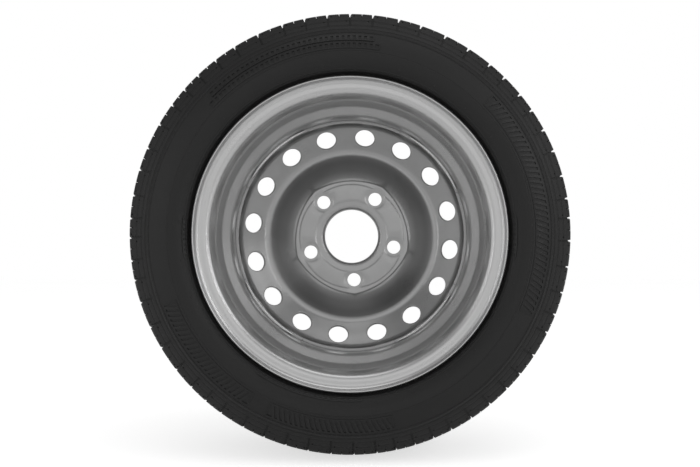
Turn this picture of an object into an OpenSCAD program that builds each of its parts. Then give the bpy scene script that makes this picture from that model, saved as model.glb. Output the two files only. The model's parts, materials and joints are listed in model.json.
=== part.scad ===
// Pressed steel wheel with its tyre and a snap-in valve, sizes in millimetres.
// The wheel turns about the Y axis. The side that bolts to the hub faces -Y, and the origin lies
// on the axle line, midway between the two rim flanges. Each piece is drawn about a local Z axis
// with +Z towards the hub side, and module laid() turns the whole into place. Round positions are
// angles clockwise from straight up, as seen from the hub side.

/* [Rim] */
// Width between the two flanges
rim_w = 139.7; // [130:0.1:150]
// Diameter of the bead seats where they meet the flanges
seat_d = 329.4; // [320:0.2:338]
// Thickness of the rolled steel band
rim_t = 2.7; // [2:0.1:3.2]
// Height of each flange over the bead seat
flange_h = 17.8; // [16:0.1:19]
// Radius of the flange's rolled top, on the tyre side
curl_r = 9.5; // [8.5:0.1:10]
// Angle by which the lip turns down past the flange's top
lip_turn = 25; // [10:1:40]
// Straight length at the end of the lip
lip_l = 1.5; // [0.5:0.1:3]
// Radius between a flange and its bead seat
heel_r = 6.5; // [5:0.1:7]
// Width of each bead seat
seat_w = 18.8; // [17.5:0.1:20]
// Slope of the bead seats towards the well
seat_taper = 5; // [4:0.5:6]
// Height of the safety hump inside each bead seat
hump_h = 1.2; // [0.6:0.1:2]
// Axial length of the safety hump, foot to foot
hump_w = 7.6; // [6.5:0.1:9]
// Depth of the drop centre below the bead seats
well_depth = 16.4; // [14:0.1:18]
// Axial length of the drop centre's floor, corner to corner
well_w = 43.5; // [40:0.5:46]
// Distance of that floor's middle from the rim's middle, towards the outer side
well_shift = 7.2; // [5:0.1:9]
// Length of the sloping ledge between the hub-side hump and the drop centre
ledge_l = 18.3; // [15:0.1:20]
// Fall of that ledge towards the drop centre
ledge_fall = 3; // [1:0.1:4]

/* [Wheel disc] */
// Thickness of the pressed disc
disc_t = 3.8; // [3:0.1:4.5]
// Distance of the hub face from the rim's middle, towards the outer side
offset_et = 30; // [27:0.5:33]
// Diameter of the centre hole
bore_d = 68.5; // [60:0.5:72]
// Depth of the centre hole's turned collar below the hub face
collar_l = 11.5; // [10:0.1:16]
// Diameter of the bolt circle
bolt_circle_d = 112; // [108:0.5:114]
// Number of bolt holes
bolts = 5; // [4:1:6]
// Diameter of each bolt hole
bolt_hole_d = 17; // [14:0.1:18]
// Angle of the first bolt hole
bolt_angle = 32.6; // [0:0.1:72]
// Width of the flat ring that meets the hub
hub_ring_w = 19.2; // [17:0.1:20]
// Height of that ring over the metal round it
hub_ring_h = 1.1; // [0.6:0.1:1.5]
// Diameter of the dished spot round each bolt hole
dish_d = 28; // [24:0.5:29]
// Depth of that dish
dish_depth = 1.5; // [0.8:0.1:2]
// Diameter of the wide end of each nut seat
seat_cone_d = 21; // [19:0.1:22]
// Height of the raised nut seat on the outer side
boss_h = 2.6; // [1.5:0.1:3]
// Distance from the flat ring out to the sides of the raised pad round it, one side between two bolts
pad_side_w = 4.2; // [3.4:0.1:5]
// Distance from the flat ring out to the corners of that pad, at the bolt holes
pad_corner_w = 7.6; // [6.6:0.1:8.4]
// Height of the pad's edge over the pressing round it
pad_h = 0.7; // [0.4:0.1:1]
// Distance from the flat ring out to the crest, where the disc turns down to the valley
crest_w = 8.6; // [7.5:0.1:11]
// Depth of the valley's corner below the hub face
valley_depth = 20.2; // [18:0.1:21]
// Width of the vent band, from the valley's corner to the inside of the skirt
band_w = 32.7; // [31:0.1:35.5]
// Number of vent holes
vents = 16; // [8:1:18]
// Diameter of each vent hole
vent_d = 25; // [18:0.5:26]
// Distance from the inside of the skirt in to the circle on which the vent holes lie
vent_inset = 15; // [14.3:0.1:15.8]
// Chamfer round the hub side of each vent hole
vent_chamfer = 0.3; // [0.1:0.05:0.5]
// Angle of the first vent hole
vent_angle = 7.7; // [0:0.1:22]
// Height of the skirt's welded edge over the hub face
skirt_h = 22; // [18:0.5:26]
// Height by which the four welded tabs stand over the rest of the skirt's edge
tab_h = 3; // [1:0.5:4]
// Angle that each welded tab spans
tab_span = 42.5; // [38:0.5:50]
// Angle of the first welded tab's middle
tab_angle = 46.4; // [0:0.1:90]
// Distance by which the skirt stands off the rim midway between two tabs
standoff = 1.6; // [0.5:0.1:2]
// Gap between the pressed-in skirt and the rim
press_gap = 0.05; // [0.02:0.01:0.1]
// Radius of each weld bead
weld_r = 4; // [3:0.1:4.5]
// Angle that each weld bead spans
weld_span = 37; // [20:0.5:38]
// Angle by which the weld beads lie past the middle of their tabs
weld_shift = 2; // [0:0.1:2.2]

/* [Tyre] */
// Height of the section, from the bead seat to the middle of the tread
section_h = 97.8; // [93:0.2:103]
// Width of the section at its widest
section_w = 196.6; // [192:0.2:204]
// Height over the bead seat at which the section is widest
widest_h = 40.3; // [38:0.1:44]
// Half the width of the tread, to the middle of the shoulder
tread_half = 70; // [68:0.2:72]
// Fall of the tread from its middle to the shoulder
tread_fall = 7.4; // [6:0.1:9]
// Thickness of rubber and plies under the tread's middle, grooves included
crown_t = 16; // [14:0.1:18]
// Thickness of the sidewall
wall_t = 8; // [7:0.1:9]
// Width of the bead at its foot
bead_w = 19.2; // [17:0.1:19.4]
// Gap between the bead and the rim
bead_gap = 0.05; // [0.02:0.01:0.15]
// Width of each of the four grooves that run round the tread
groove_w = 9; // [7:0.1:10]
// Depth of those grooves
groove_depth = 7.8; // [6:0.1:8.5]
// Distance of the two inner grooves from the middle
inner_groove_z = 13.5; // [12:0.1:15]
// Distance of the two outer grooves from the middle
outer_groove_z = 39.5; // [38:0.1:41]
// Width of the grooves across the shoulders
cross_groove_w = 4.2; // [3:0.1:5]
// Slant of the grooves across the shoulders
cross_groove_slant = 5; // [0:0.5:8]
// Width of the shallow lines that carry those grooves down the sidewall
flank_line_w = 2.2; // [1:0.1:3]
// Depth of those lines
flank_line_depth = 1.4; // [0.8:0.1:2]
// Radius of the two ribs that run round each sidewall
side_rib_r = 1.1; // [0.6:0.1:1.4]

/* [Valve] */
// Distance of the valve from the middle of the rim's slope, towards the flange
valve_rise = 1.2; // [0.5:0.1:2]
// Diameter of the valve hole in the rim
valve_hole_d = 11.3; // [10.5:0.1:12]
// Angle of the valve, midway between two vent holes
valve_angle = 198.95; // [0:0.05:360]
// Diameter of the head inside the rim
valve_head_d = 18; // [16:0.1:19]
// Height of that head
valve_head_h = 5.6; // [4:0.1:7]
// Diameter of the collar that bears on the outside of the rim
valve_collar_d = 15.2; // [14:0.1:16]
// Gap between the valve's rubber and the rim
neck_gap = 0.05; // [0.02:0.01:0.15]
// Length of the valve outside the rim
valve_l = 33; // [30:0.5:36]
// Length of bare thread at the valve's tip
bare_thread_l = 10; // [9.5:0.1:11]
// Outside diameter of the valve's thread
valve_thread_d = 7.7; // [7.5:0.05:8]
// Pitch of that thread, and of the one in the cap
thread_pitch = 0.794; // [0.7:0.001:0.85]
// Diameter of the thread inside the stem, which holds the core
core_thread_d = 5.2; // [5:0.05:5.4]
// Diameter of the air passage below the core
air_passage_d = 3.8; // [3.4:0.05:3.9]
// Depth of the core's plug below the mouth of the stem
core_depth = 0.9; // [0.5:0.05:1.5]
// Length of the core's threaded plug
core_plug_l = 4.8; // [4:0.1:5]
// Length of the core's barrel
core_barrel_l = 8; // [7:0.1:8.5]
// Outside diameter of that barrel
core_barrel_d = 3.5; // [3.3:0.05:3.55]
// Diameter of the core's pin
core_pin_d = 0.9; // [0.7:0.05:1]
// Way that the pin goes in when it is pressed
core_pin_travel = 1.5; // [1:0.1:2]
// Running gap round the core's pin
core_pin_gap = 0.25; // [0.15:0.05:0.3]
// Gap between the threads of core and stem, and of cap and stem
thread_gap = 0.08; // [0.05:0.01:0.12]
// Diameter of the spring's wire
spring_wire_d = 0.25; // [0.2:0.01:0.3]
// Number of turns of the spring
spring_turns = 7; // [5:1:8]
// Outside diameter of the cap
cap_d = 9.8; // [9.6:0.1:11]
// Height of the cap
cap_h = 11.6; // [11:0.1:13]
// Number of turns that unscrew the cap
cap_turns = 11; // [8:1:12]
// Number of grip ribs round the cap
cap_ribs = 18; // [12:1:24]
// Thickness of the sealing washer in the cap
cap_seal_t = 1.1; // [0.8:0.1:1.4]

/* [Hidden] */
$fn = 96;

// Small amount by which a cutter passes the face that it opens
past = 0.2;
// Largest turn between two points of a bend, in degrees
bend_step = 9;
steel = [0.66, 0.67, 0.68];
weld_steel = [0.6, 0.61, 0.62];
rubber = [0.07, 0.07, 0.075];
brass = [0.72, 0.6, 0.32];
white_seal = [0.9, 0.9, 0.88];
spring_steel = [0.55, 0.56, 0.58];
cap_plastic = [0.05, 0.05, 0.055];

// Outlines of bent sheets: a path is a list of [x, y, bend radius] corners

function heading(a, b) = atan2(b[1] - a[1], b[0] - a[0]);
function turn(d) = d > 180 ? d - 360 : d <= -180 ? d + 360 : d;
function beside(p, dir, off) = [p[0] - off * sin(dir), p[1] + off * cos(dir)];

// Points of one bend, on the side that lies off to the left of the path
function bend(before, corner, after, off) =
    let(
        dir = heading(before, corner),
        angle = turn(heading(corner, after) - dir),
        side = sign(angle),
        reach = corner[2] * tan(abs(angle) / 2),
        start = [corner[0] - reach * cos(dir), corner[1] - reach * sin(dir)],
        centre = beside(start, dir, side * corner[2]),
        steps = max(1, ceil(abs(angle) / bend_step))
    )
    [for (i = [0:steps]) beside(centre, dir + angle * i / steps, off - side * corner[2])];

function first_dir(path) = heading(path[0], path[1]);
function last_dir(path) = heading(path[len(path) - 2], path[len(path) - 1]);

function sheet_side(path, off) = concat(
    [beside(path[0], first_dir(path), off)],
    [for (i = [1:len(path) - 2]) each bend(path[i - 1], path[i], path[i + 1], off)],
    [beside(path[len(path) - 1], last_dir(path), off)]
);

function backwards(list) = [for (i = [len(list) - 1:-1:0]) list[i]];

// Half circle that rounds an end of the sheet, from one face to the other
function round_end(middle, from, turned, r) =
    [for (i = [1:5]) middle + r * [cos(from + turned * i / 6), sin(from + turned * i / 6)]];

// Section of a sheet whose other face lies off to the left of the path, or to its right if negative
module sheet(path, off, start_round = true) {
    s = sign(off);
    start = beside(path[0], first_dir(path), off / 2);
    end = beside(path[len(path) - 1], last_dir(path), off / 2);
    polygon(concat(
        sheet_side(path, 0),
        round_end(end, last_dir(path) - 90 * s, 180 * s, abs(off) / 2),
        backwards(sheet_side(path, off)),
        start_round ? round_end(start, first_dir(path) + 90 * s, 180 * s, abs(off) / 2) : []
    ));
}

// Smooth curve through a list of points
function blend_point(a, b, c, d, t) =
    0.5 * (2 * b + (c - a) * t + (2 * a - 5 * b + 4 * c - d) * t * t
        + (3 * b - a - 3 * c + d) * t * t * t);
function smooth(p, steps) = concat(
    [for (i = [0:len(p) - 2], k = [0:steps - 1])
        blend_point(p[max(i - 1, 0)], p[i], p[i + 1], p[min(i + 2, len(p) - 1)], k / steps)],
    [p[len(p) - 1]]
);

// Sizes of the rim that the disc, the tyre and the valve share

half_w = rim_w / 2;
seat_r = seat_d / 2;
flange_top_r = seat_r + flange_h;
curl_z = half_w + curl_r;
curl_centre_r = flange_top_r - curl_r;
well_r = seat_r - well_depth;
well_inside_r = well_r - rim_t;
well_hub_z = well_w / 2 - well_shift;
well_outer_z = -well_w / 2 - well_shift;
hump_foot_z = half_w - seat_w - hump_w;
hump_foot_r = seat_r - tan(seat_taper) * (seat_w + hump_w) - 0.4;
hump_bend = 3;
ledge_bend = 8;
well_bend = 6;

// Half of the rim's outline, tyre side, from the lip to the foot of the hump
function rim_half() =
    let(
        lip_dir = [-sin(lip_turn), cos(lip_turn)],
        curl_reach = curl_r * tan((90 + lip_turn) / 2),
        curl_corner = [curl_centre_r + curl_reach, half_w],
        seat_end = seat_r - tan(seat_taper) * seat_w
    )
    [
        [curl_corner[0] + (curl_reach + lip_l) * lip_dir[0], half_w + (curl_reach + lip_l) * lip_dir[1], 0],
        [curl_corner[0], curl_corner[1], curl_r],
        [seat_r, half_w, heel_r],
        [seat_end, half_w - seat_w, hump_bend],
        [seat_end + hump_h, half_w - seat_w - hump_w * 0.32, hump_bend],
        [seat_end + hump_h, half_w - seat_w - hump_w * 0.62, hump_bend],
        [hump_foot_r, hump_foot_z, hump_bend + rim_t]
    ];

rim_path = concat(
    rim_half(),
    [
        [hump_foot_r - ledge_fall, hump_foot_z - ledge_l, ledge_bend],
        [well_r, well_hub_z, well_bend],
        [well_r, well_outer_z, well_bend]
    ],
    [for (p = backwards(rim_half())) [p[0], -p[1], p[2]]]
);

// Place and lean of the valve: square to the slope between the drop centre and the outer hump

slope_foot = [well_r, well_outer_z];
slope_top = [hump_foot_r, -hump_foot_z];
slope_dir = heading(slope_foot, slope_top);
slope_middle = (slope_foot + slope_top) / 2;
slope_along = [cos(slope_dir), sin(slope_dir)];
valve_seat = beside(slope_middle + valve_rise * slope_along, slope_dir, -rim_t);

// Turns a piece from its local axis to the wheel's own
module laid() {
    rotate([90, 0, 0])
        children();
}

// Puts a valve piece, drawn with its length along +Z from the outside of the rim, on the slope
module at_valve() {
    rotate([0, 0, -valve_angle])
        translate([0, valve_seat[0], valve_seat[1]])
            rotate([180 + slope_dir, 0, 0])
                children();
}

// Puts a shape at an angle round the wheel, r from the axle and z towards the hub side
module round_at(angle, r, z) {
    rotate([0, 0, -angle])
        translate([0, r, z])
            children();
}

// Rim: one band of rolled steel with a hole for the valve

module rim() {
    color(steel)
        laid()
            difference() {
                rotate_extrude(convexity = 8)
                    sheet(rim_path, -rim_t);
                at_valve()
                    translate([0, 0, -2 * rim_t])
                        cylinder(h = 3 * rim_t, r = valve_hole_d / 2);
            }
}

// Wheel disc: one pressing, dished round the hub, with vents and a skirt that fits inside the rim

face_z = -offset_et;
skirt_r = well_inside_r - press_gap;
skirt_inside_r = skirt_r - disc_t;
skirt_top_z = face_z + skirt_h;
skirt_foot_z = face_z + 9;
bolt_r = bolt_circle_d / 2;
ring_mid_r = bolt_r + 0.4;
ring_outer_r = ring_mid_r + hub_ring_w / 2;
ring_inner_r = ring_mid_r - hub_ring_w / 2;
valley = [skirt_inside_r - band_w, face_z - valley_depth];
// Top of the raised pad, and the corners of the pressing under its foot and at the crest
pad_z = face_z - 0.8 * hub_ring_h;
ring_edge_w = 2;
pad_seat = [ring_outer_r + ring_edge_w, pad_z - pad_h];
crest_fall = 1.1;
crest = [ring_outer_r + crest_w, pad_seat[1] - crest_fall];
valley_slope_l = norm(valley - crest);
vent_slope = 35.8;
skirt_bend = 9;
valley_bend = min(10, valley_slope_l / 3.8);
crest_bend = min(12, valley_slope_l / 3.2);
ring_bend = disc_t + 0.7;
collar_bend = disc_t + 2.2;
// Where the vent band, rising from the valley, meets the skirt
band_top_z = valley[1] + band_w * tan(vent_slope);
vent_circle_r = skirt_inside_r - vent_inset;
vent_z = band_top_z - vent_inset * tan(vent_slope);

disc_path = [
    [skirt_inside_r, skirt_foot_z, 0],
    [skirt_inside_r, band_top_z, skirt_bend],
    [valley[0], valley[1], valley_bend],
    [crest[0], crest[1], crest_bend],
    [pad_seat[0], pad_seat[1], 1],
    [ring_outer_r, face_z, ring_bend],
    [ring_inner_r, face_z, ring_bend],
    [ring_inner_r - 2.2, face_z - hub_ring_h, 1.2],
    [bore_d / 2, face_z - hub_ring_h - 0.2, collar_bend],
    [bore_d / 2, face_z - collar_l, 0]
];

// Circle cut back to four flatter arcs, which leaves full contact only at the four tabs
module lobed(r, flat_r, shift) {
    intersection() {
        circle(r);
        for (side = [0:3])
            rotate(-tab_angle - 45 - 90 * side)
                translate([0, -shift])
                    circle(flat_r);
    }
}

lobe_half = 45 - tab_span / 2;
lobe_shift = -(pow(skirt_r, 2) - pow(skirt_r - standoff, 2))
    / (2 * (skirt_r * cos(lobe_half) - skirt_r + standoff));
lobe_r = skirt_r - standoff + lobe_shift;
boss_top_r = 12.5;
boss_foot_r = 15.5;
// Width of the sloping edge of each dish
dish_width = 3.5;
seat_half_angle = 30;
outer_face_z = face_z - disc_t - boss_h;

// Upright edge of the disc, lobed so that it bears on the rim at the four tabs
module skirt() {
    translate([0, 0, skirt_foot_z])
        linear_extrude(height = skirt_top_z - skirt_foot_z)
            difference() {
                lobed(skirt_r, lobe_r, lobe_shift);
                lobed(skirt_inside_r, lobe_r - disc_t, lobe_shift);
            }
}

// Stretches of the skirt's edge that are cut lower, between the tabs
module skirt_cuts() {
    for (i = [0:3])
        rotate(90 - tab_angle + tab_span / 2 - 90 * i)
            rotate_extrude(angle = 90 - tab_span)
                translate([skirt_inside_r - 2 * standoff - past, skirt_top_z - tab_h])
                    square([disc_t + 2 * standoff + 2 * past, tab_h + past]);
}

// Raised pad between the flat ring and the crest: its sides bow out, and its corners lie at the bolts
module hub_pad() {
    side_r = ring_outer_r + pad_side_w;
    corner_r = ring_outer_r + pad_corner_w;
    shift = (pow(corner_r, 2) - pow(side_r, 2)) / (2 * (side_r - corner_r * cos(180 / bolts)));
    foot_h = 3;
    difference() {
        intersection_for(i = [0:bolts - 1])
            round_at(bolt_angle + 180 / bolts + 360 * i / bolts, -shift, pad_z - foot_h)
                cylinder(h = foot_h, r1 = side_r + shift + foot_h, r2 = side_r + shift);
        translate([0, 0, pad_z - foot_h - past])
            cylinder(h = foot_h + 2 * past, r = ring_outer_r + 0.2);
    }
}

// What is cut away at one vent hole, about the hole's own axis
module vent_cut() {
    hole_r = vent_d / 2;
    reach = 2 * disc_t;
    rotate_extrude()
        polygon([
            [0, -reach], [hole_r, -reach], [hole_r, -vent_chamfer],
            [hole_r + vent_chamfer + reach, reach], [0, reach]
        ]);
}

// What is cut away at one bolt hole: the dished spot, the hole and the nut's seat. Both cones run on
// past the face that they open.
module bolt_cut() {
    hole_r = bolt_hole_d / 2;
    seat_top_r = seat_cone_d / 2;
    seat_depth = (seat_top_r - hole_r) / tan(seat_half_angle);
    run_on = 2;
    dish_run_on = dish_width / dish_depth * run_on;
    rotate_extrude()
        polygon([
            [0, outer_face_z - run_on],
            [seat_top_r + run_on * tan(seat_half_angle), outer_face_z - run_on],
            [hole_r, outer_face_z + seat_depth],
            [hole_r, face_z - dish_depth],
            [dish_d / 2 - dish_width, face_z - dish_depth],
            [dish_d / 2 + dish_run_on, face_z + run_on],
            [0, face_z + run_on]
        ]);
}

module wheel_disc() {
    color(steel)
        laid()
            difference() {
                union() {
                    rotate_extrude(convexity = 8)
                        sheet(disc_path, disc_t, start_round = false);
                    skirt();
                    hub_pad();
                    for (i = [0:bolts - 1])
                        round_at(bolt_angle + 360 * i / bolts, bolt_r, outer_face_z)
                            cylinder(h = boss_h + 1, r1 = boss_top_r, r2 = boss_foot_r);
                }
                skirt_cuts();
                for (i = [0:bolts - 1])
                    round_at(bolt_angle + 360 * i / bolts, bolt_r, 0)
                        bolt_cut();
                for (i = [0:vents - 1])
                    round_at(vent_angle + 360 * i / vents, vent_circle_r, vent_z)
                        rotate([vent_slope, 0, 0])
                            vent_cut();
            }
}

// Weld beads: four fillets between the tabs and the drop centre

module weld_beads() {
    color(weld_steel)
        laid()
            for (i = [0:3])
                rotate(90 - tab_angle - weld_shift - weld_span / 2 - 90 * i)
                    rotate_extrude(angle = weld_span)
                        translate([well_inside_r, skirt_top_z])
                            intersection() {
                                circle(weld_r);
                                translate([-weld_r, 0])
                                    square(weld_r);
                            }
}

// Tyre: one moulding, with the same outline on both sides

tyre_r = seat_r + section_h;
widest_r = seat_r + widest_h;
side_z = section_w / 2;
shoulder_r = tyre_r - tread_fall;
shoulder_z = tread_half + 6;
// Foot of the shoulder and top of the bead, between which the sidewall runs
flank_top = [shoulder_r - 11.1, tread_half + 12.5];
bead_top = [flange_top_r + 2.4, curl_z + 9.2];
groove_taper = 0.8;
outer_groove_edge = outer_groove_z + groove_w / 2;
pitch_order = str("MLMLLLSMSMMLMSMLLMSLMSMMMS", "SSSMMMMM", "MLSSMLMLMSMSMLMLMSSMMLLMMM");
pitches = len(pitch_order);
first_pitch_angle = 0.1;

function tread_r(z) = tyre_r - tread_fall * pow(abs(z) / tread_half, 2.45);
function tread_edge(z) = [tread_r(z), z];

// Outline of a groove that runs round the tread
function groove(z) = [
    tread_edge(z - groove_w / 2),
    [tread_r(z) - groove_depth, z - groove_w / 2 + groove_taper],
    [tread_r(z) - groove_depth, z + groove_w / 2 - groove_taper],
    tread_edge(z + groove_w / 2)
];

// Outside of the sidewall at radius r, above and below the widest place
function wall_z(r) = r > widest_r
    ? side_z - (side_z - flank_top[1]) * pow((r - widest_r) / (flank_top[0] - widest_r), 1.6)
    : side_z - (side_z - bead_top[1]) * pow((widest_r - r) / (widest_r - bead_top[0]), 2.5);
function wall(r) = [r, wall_z(r)];
// Radius of the upper of the two ribs that run round the sidewall
rib_r = flank_top[0] - 14.7;
// Radius at a share t of the way from the widest place up to that rib or down to the bead
function upper(t) = widest_r + t * (rib_r - widest_r);
function lower(t) = widest_r - t * (widest_r - bead_top[0]);
// A raised ring on the sidewall at radius r, or a sunk one if h is negative
function ring(r, w, h) =
    [for (i = [-2:2]) [r - w * i / 2, wall_z(r - w * i / 2) + h * (1 - i * i / 4)]];

tread_outline = concat(
    [tread_edge(0)],
    groove(inner_groove_z),
    [tread_edge((inner_groove_z + outer_groove_z) / 2)],
    groove(outer_groove_z),
    let(from = outer_groove_edge, way = tread_half + 3 - from)
        [for (i = [1:4]) tread_edge(from + way * i / 4)],
    [[shoulder_r - 2.9, tread_half + 6.6], [shoulder_r - 5.2, tread_half + 8.6]]
);

wall_outline = concat(
    ring(flank_top[0], 0.9, -0.5),
    [wall(flank_top[0] - 3.1)],
    ring(flank_top[0] - 6.6, 0.9, -0.5),
    [wall(flank_top[0] - 9.4)],
    ring(rib_r + 3, 0.6, -0.4),
    ring(rib_r, 1.5 * side_rib_r, side_rib_r),
    [for (t = [0.87, 0.68, 0.49, 0.3]) wall(upper(t))],
    ring(upper(0.03), 0.8, -0.4),
    [for (t = [0.25, 0.45, 0.62, 0.76]) wall(lower(t))],
    ring(lower(0.9), side_rib_r, 0.7 * side_rib_r),
    [bead_top, [bead_top[0] - 0.6, curl_z + 6.1], [bead_top[0] - 1, curl_z + 3.1]]
);

// Face of the bead against the rim, from the curl to the heel, the seat and the rounded toe
toe_r = 1.5;
bead_inside = [seat_r + 6, half_w - 13.4];
bead_path = [
    [flange_top_r, curl_z + 1.6, 0],
    [flange_top_r, half_w, curl_r],
    [seat_r, half_w, heel_r],
    [seat_r - tan(seat_taper) * bead_w, half_w - bead_w, toe_r],
    [bead_inside[0], bead_inside[1], 0]
];

// Cavity of the tyre, from the widest place down to the bead and from there up to the crown
cavity_r = tyre_r - crown_t;
cavity_z = side_z - wall_t;
function off_curl(d, a) = [curl_centre_r + d * cos(a), curl_z + d * sin(a)];
cavity_bead = smooth(
    [bead_inside, off_curl(20, -65), off_curl(19.5, -25), off_curl(20.5, 20), [widest_r, cavity_z]],
    3
);
cavity_crown = [for (a = [82.5:-7.5:0])
    [widest_r + (cavity_r - widest_r) * pow(cos(a), 0.77), cavity_z * pow(sin(a), 0.77)]];

half_outline = concat(
    tread_outline,
    wall_outline,
    sheet_side(bead_path, bead_gap),
    [for (i = [1:len(cavity_bead) - 1]) cavity_bead[i]],
    cavity_crown
);
tyre_outline = concat(
    half_outline,
    [for (i = [len(half_outline) - 2:-1:1]) [half_outline[i][0], -half_outline[i][1]]]
);

function pitch(letter) = letter == "S" ? 5.1 : letter == "M" ? 6 : 6.85;
function pitch_sum(n) = n == 0 ? 0 : pitch_sum(n - 1) + pitch(pitch_order[n - 1]);
pitch_angles = [for (n = [0:pitches - 1]) first_pitch_angle + 360 * pitch_sum(n) / pitch_sum(pitches)];

// Floor of the grooves across the shoulder, from its inner to its outer end
cross_floor_in = [tread_r(outer_groove_edge) - groove_depth + 0.7, outer_groove_edge];
cross_floor_out = [shoulder_r - 5.6, shoulder_z];
cross_fall = heading(backwards(cross_floor_out), backwards(cross_floor_in)) - 180;
// The line down the sidewall, from its upper to its lower end
flank_line_top = [shoulder_r - 4.1, tread_half + 7.5];
flank_line_foot = wall(flank_top[0] - 7.8);
flank_line_fall = -heading(backwards(flank_line_top), backwards(flank_line_foot));

// Groove across the shoulder at the top of the wheel
module cross_groove() {
    top = 1.5 * groove_depth;
    half_floor = cross_groove_w / 2 - groove_taper;
    half_top = half_floor + 1.5 * groove_taper;
    way = shoulder_z - outer_groove_z;
    translate([0, cross_floor_out[0], cross_floor_out[1]])
        rotate([-cross_fall, cross_groove_slant, 0])
            translate([0, 0, -way])
                linear_extrude(height = way + 6)
                    polygon([[-half_floor, 0], [half_floor, 0], [half_top, top], [-half_top, top]]);
}

// Line that carries that groove down the sidewall
module flank_line() {
    translate([0, flank_line_top[0], flank_line_top[1]])
        rotate([flank_line_fall, 0, 0])
            translate([-flank_line_w / 2, -flank_line_depth, 0])
                cube([flank_line_w, flank_line_depth + 3, norm(flank_line_foot - flank_line_top)]);
}

module tyre() {
    color(rubber)
        laid()
            difference() {
                rotate_extrude(convexity = 10)
                    polygon(tyre_outline);
                for (side = [0, 180])
                    rotate([side, 0, 0])
                        for (angle = pitch_angles)
                            rotate(-angle) {
                                cross_groove();
                                flank_line();
                            }
            }
}

// Valve: heights are measured along its axis, from the face of the rim

thread_r = valve_thread_d / 2;
stem_r = thread_r - 1;
stem_foot = -rim_t - valve_head_h + 1.3;
rubber_top = valve_l - bare_thread_l;
shank_from = rubber_top - 4;
// The collar clears the rim, which curves towards it
collar_foot = neck_gap + pow(valve_collar_d / 2, 2) / (2 * valve_seat[0]);
neck_r = valve_hole_d / 2 - neck_gap;
head_foot = -rim_t - valve_head_h;
head_top = -rim_t - neck_gap;
head_r = valve_head_d / 2;
collar_r = valve_collar_d / 2;
// Outline of the brass stem, with the two barbs that key it into the rubber
stem_outline = [
    [0, stem_foot], [stem_r, stem_foot],
    [stem_r, stem_foot + 3], [stem_r + 0.6, stem_foot + 3.4], [stem_r, stem_foot + 4.6],
    [stem_r, shank_from - 6], [stem_r + 0.6, shank_from - 5.6], [stem_r, shank_from - 4.4],
    [stem_r, shank_from - 1], [thread_r, shank_from],
    [thread_r, valve_l - 0.5], [thread_r - 0.5, valve_l], [0, valve_l]
];

module valve_body() {
    color(rubber)
        laid()
            at_valve()
                rotate_extrude()
                    difference() {
                        polygon([
                            [0, head_foot], [head_r - 2.5, head_foot], [head_r, head_foot + 2.6],
                            [head_r, head_top - 0.6], [head_r - 0.6, head_top], [neck_r, head_top],
                            [neck_r, collar_foot], [collar_r - 0.4, collar_foot],
                            [collar_r, collar_foot + 0.6], [collar_r, 3.2], [collar_r - 0.9, 4.2],
                            [thread_r + 1.05, rubber_top - 1], [thread_r + 0.75, rubber_top],
                            [0, rubber_top]
                        ]);
                        polygon(stem_outline);
                        translate([0, head_foot - past])
                            square([air_passage_d / 2 + 0.5, stem_foot - head_foot + 2 * past]);
                    }
}

core_r = core_thread_d / 2;
passage_r = air_passage_d / 2;
plug_top = valve_l - core_depth;
plug_foot = plug_top - core_plug_l;
barrel_foot = plug_foot - core_barrel_l;
barrel_r = core_barrel_d / 2;
barrel_wall = 0.4;
pin_r = core_pin_d / 2;
pin_hole_r = pin_r + core_pin_gap;
taper_top = plug_foot - 1.3;
taper_foot = taper_top - 2.2;
gasket_top = taper_top - 0.1;
gasket_foot = taper_foot + 0.5;
gasket_gap = 0.02;
function taper_r(w) = passage_r + (core_r - passage_r) * (w - taper_foot) / (taper_top - taper_foot);

module valve_stem() {
    color(brass)
        laid()
            at_valve()
                rotate_extrude()
                    difference() {
                        polygon(stem_outline);
                        polygon([
                            [0, stem_foot - past], [passage_r, stem_foot - past],
                            [passage_r, taper_foot], [core_r, taper_top],
                            [core_r, valve_l - 0.4], [core_r + 0.6, valve_l + past],
                            [0, valve_l + past]
                        ]);
                    }
}

// Threaded plug of the core, with two flats at its top for the tool that turns it
module core_plug() {
    plug_r = core_r - thread_gap;
    flat_from = 1.1;
    flat_h = 1.8;
    color(brass)
        laid()
            at_valve()
                difference() {
                    rotate_extrude()
                        translate([pin_hole_r, plug_foot])
                            square([plug_r - pin_hole_r, core_plug_l]);
                    for (side = [0, 180])
                        rotate(side)
                            translate([flat_from, -core_r, plug_top - flat_h])
                                cube([core_r, 2 * core_r, flat_h + past]);
                }
}

module core_barrel() {
    color(brass)
        laid()
            at_valve()
                rotate_extrude()
                    difference() {
                        translate([0, barrel_foot])
                            square([barrel_r, core_barrel_l]);
                        translate([0, barrel_foot - past])
                            square([pin_hole_r, core_barrel_l + 2 * past]);
                        translate([0, barrel_foot + 0.7])
                            square([barrel_r - barrel_wall, core_barrel_l - 1.2]);
                    }
}

module core_gasket() {
    color(white_seal)
        laid()
            at_valve()
                rotate_extrude()
                    polygon([
                        [barrel_r, gasket_foot], [taper_r(gasket_foot) - gasket_gap, gasket_foot],
                        [taper_r(gasket_top) - gasket_gap, gasket_top], [barrel_r, gasket_top]
                    ]);
}

// Pin of the core: a collar takes the spring and a foot carries the seal

pin_top = valve_l - 0.4;
pin_seal_t = 0.6;
pin_foot = barrel_foot - pin_seal_t;
pin_foot_r = barrel_r - 0.3;
spring_foot = barrel_foot + 0.7;
spring_top = barrel_foot + core_barrel_l - 1.9;
pin_collar_r = barrel_r - barrel_wall - 0.15;

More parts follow.
